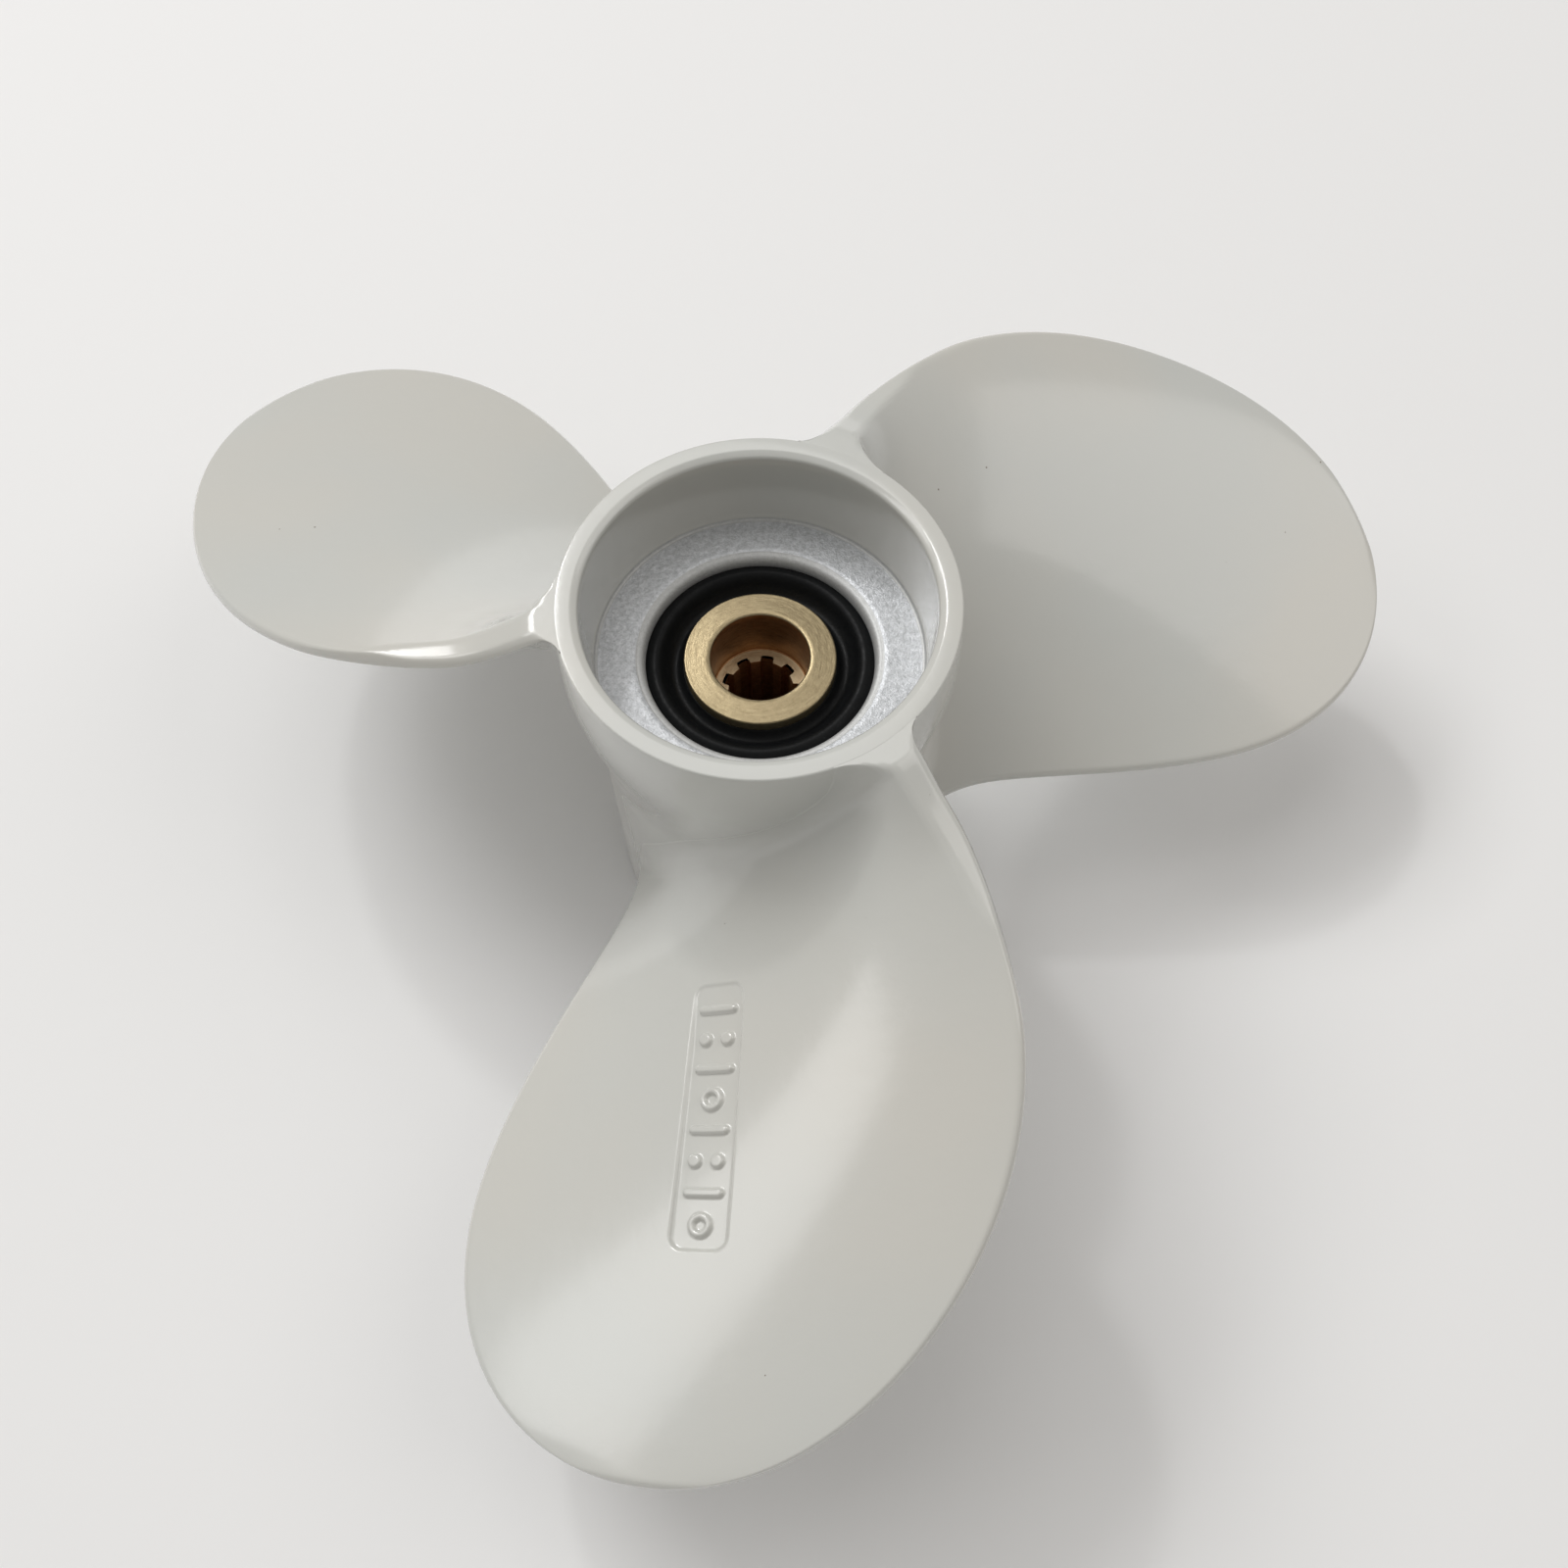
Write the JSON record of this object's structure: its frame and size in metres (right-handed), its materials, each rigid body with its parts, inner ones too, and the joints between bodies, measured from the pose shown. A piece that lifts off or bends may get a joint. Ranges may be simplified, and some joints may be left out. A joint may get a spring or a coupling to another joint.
{
  "type": "boat propeller",
  "caption": "Small outboard propeller: one painted aluminium casting of hub and raked blades, cushioned by a rubber bush on a brass splined sleeve that slips under overload.",
  "frame": {"origin": "centre of the hub's rear end face, on the shaft's axis", "axes": "+Z along the shaft's axis from the hub's rear end to its front rim, which meets the gearcase; +X and +Y across the shaft, with the marked blade towards -Y"},
  "size_m": [0.1717, 0.1636, 0.0635],
  "materials": {
    "white_paint": "gloss",
    "bush_rubber": "satin",
    "sleeve_brass": "satin"
  },
  "bodies": {
    "sleeve": {"splined_sleeve": "sleeve_brass"},
    "bush": {"rubber_bush": "bush_rubber"},
    "casting": {"propeller_casting": "white_paint"}
  },
  "joints": [
    {"name": "cushion_twist", "type": "hinge", "parent": "sleeve", "child": "bush", "pos_m": [0, 0, 0.0318], "axis": [0, 0, 1], "range_deg": [-8, 8], "stiffness_Nm_per_rad": 250},
    {"name": "overload_slip", "type": "hinge", "parent": "bush", "child": "casting", "pos_m": [0, 0, 0.0318], "axis": [0, 0, 1], "continuous": true}
  ]
}
